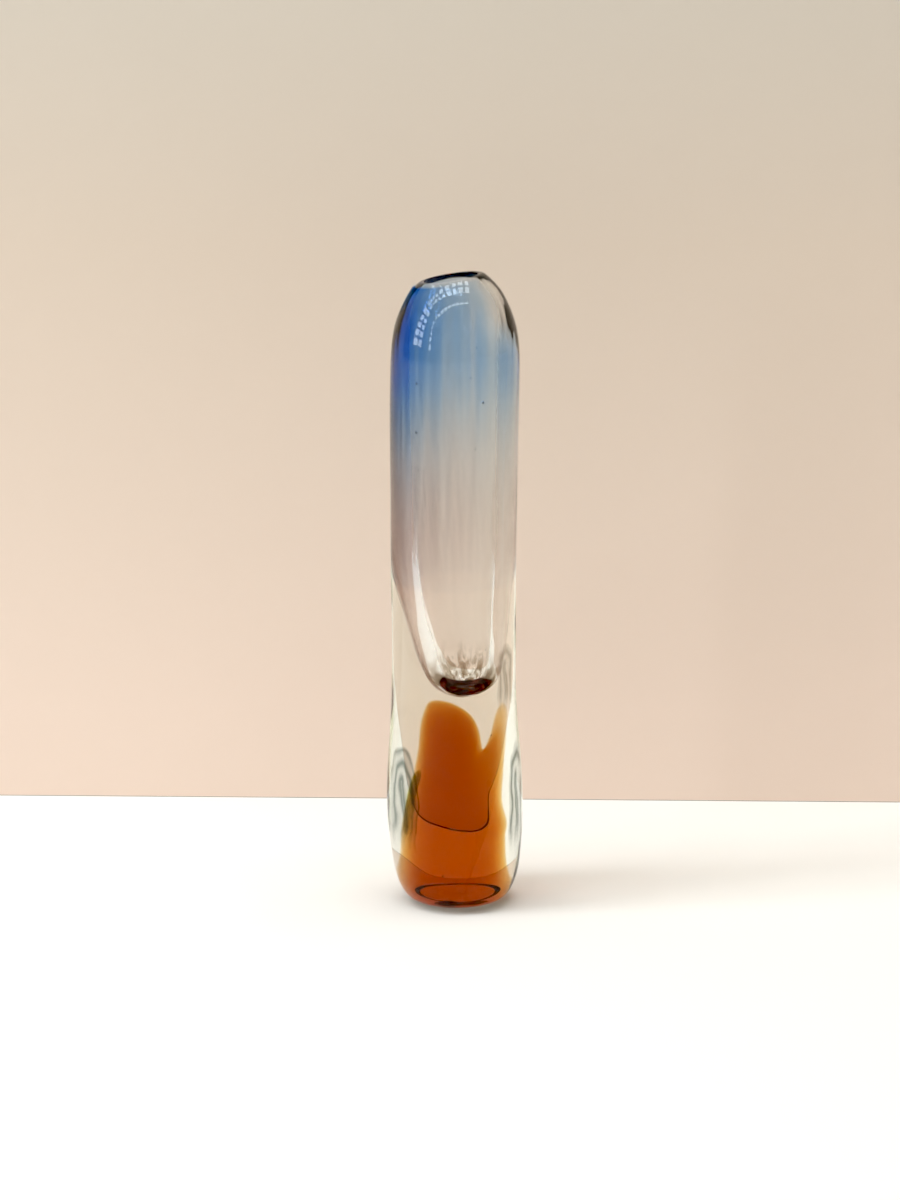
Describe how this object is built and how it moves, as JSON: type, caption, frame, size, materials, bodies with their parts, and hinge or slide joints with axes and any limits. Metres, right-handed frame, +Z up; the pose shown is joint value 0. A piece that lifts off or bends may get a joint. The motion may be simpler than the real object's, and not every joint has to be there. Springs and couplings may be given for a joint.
{
  "type": "art glass vase",
  "caption": "Tall slender cased glass vase with a narrow slanted mouth, a long round cavity, a blue shoulder layer and amber glass sealed in a thick clear solid base.",
  "frame": {"origin": "centre of the vase's outline at the foot's underside, on the surface it stands on", "axes": "+Z up along the vase; +X towards the amber horn, with the mouth's high side; -Y towards the viewer"},
  "size_m": [0.0537, 0.0536, 0.2499],
  "materials": {
    "clear_glass": "fire polished clear",
    "lining_glass": "fire polished clear",
    "blue_glass": "transparent cobalt blue, fading downwards",
    "amber_glass": "translucent amber to orange red",
    "olive_glass": "translucent dark olive"
  },
  "bodies": {
    "root": {"clear_outer_casing": "clear_glass", "clear_inner_lining": "lining_glass", "blue_colour_layer": "blue_glass", "amber_core": "amber_glass", "amber_side_fold": "amber_glass", "olive_edge_trail": "olive_glass", "olive_foot_line": "olive_glass"}
  },
  "joints": []
}
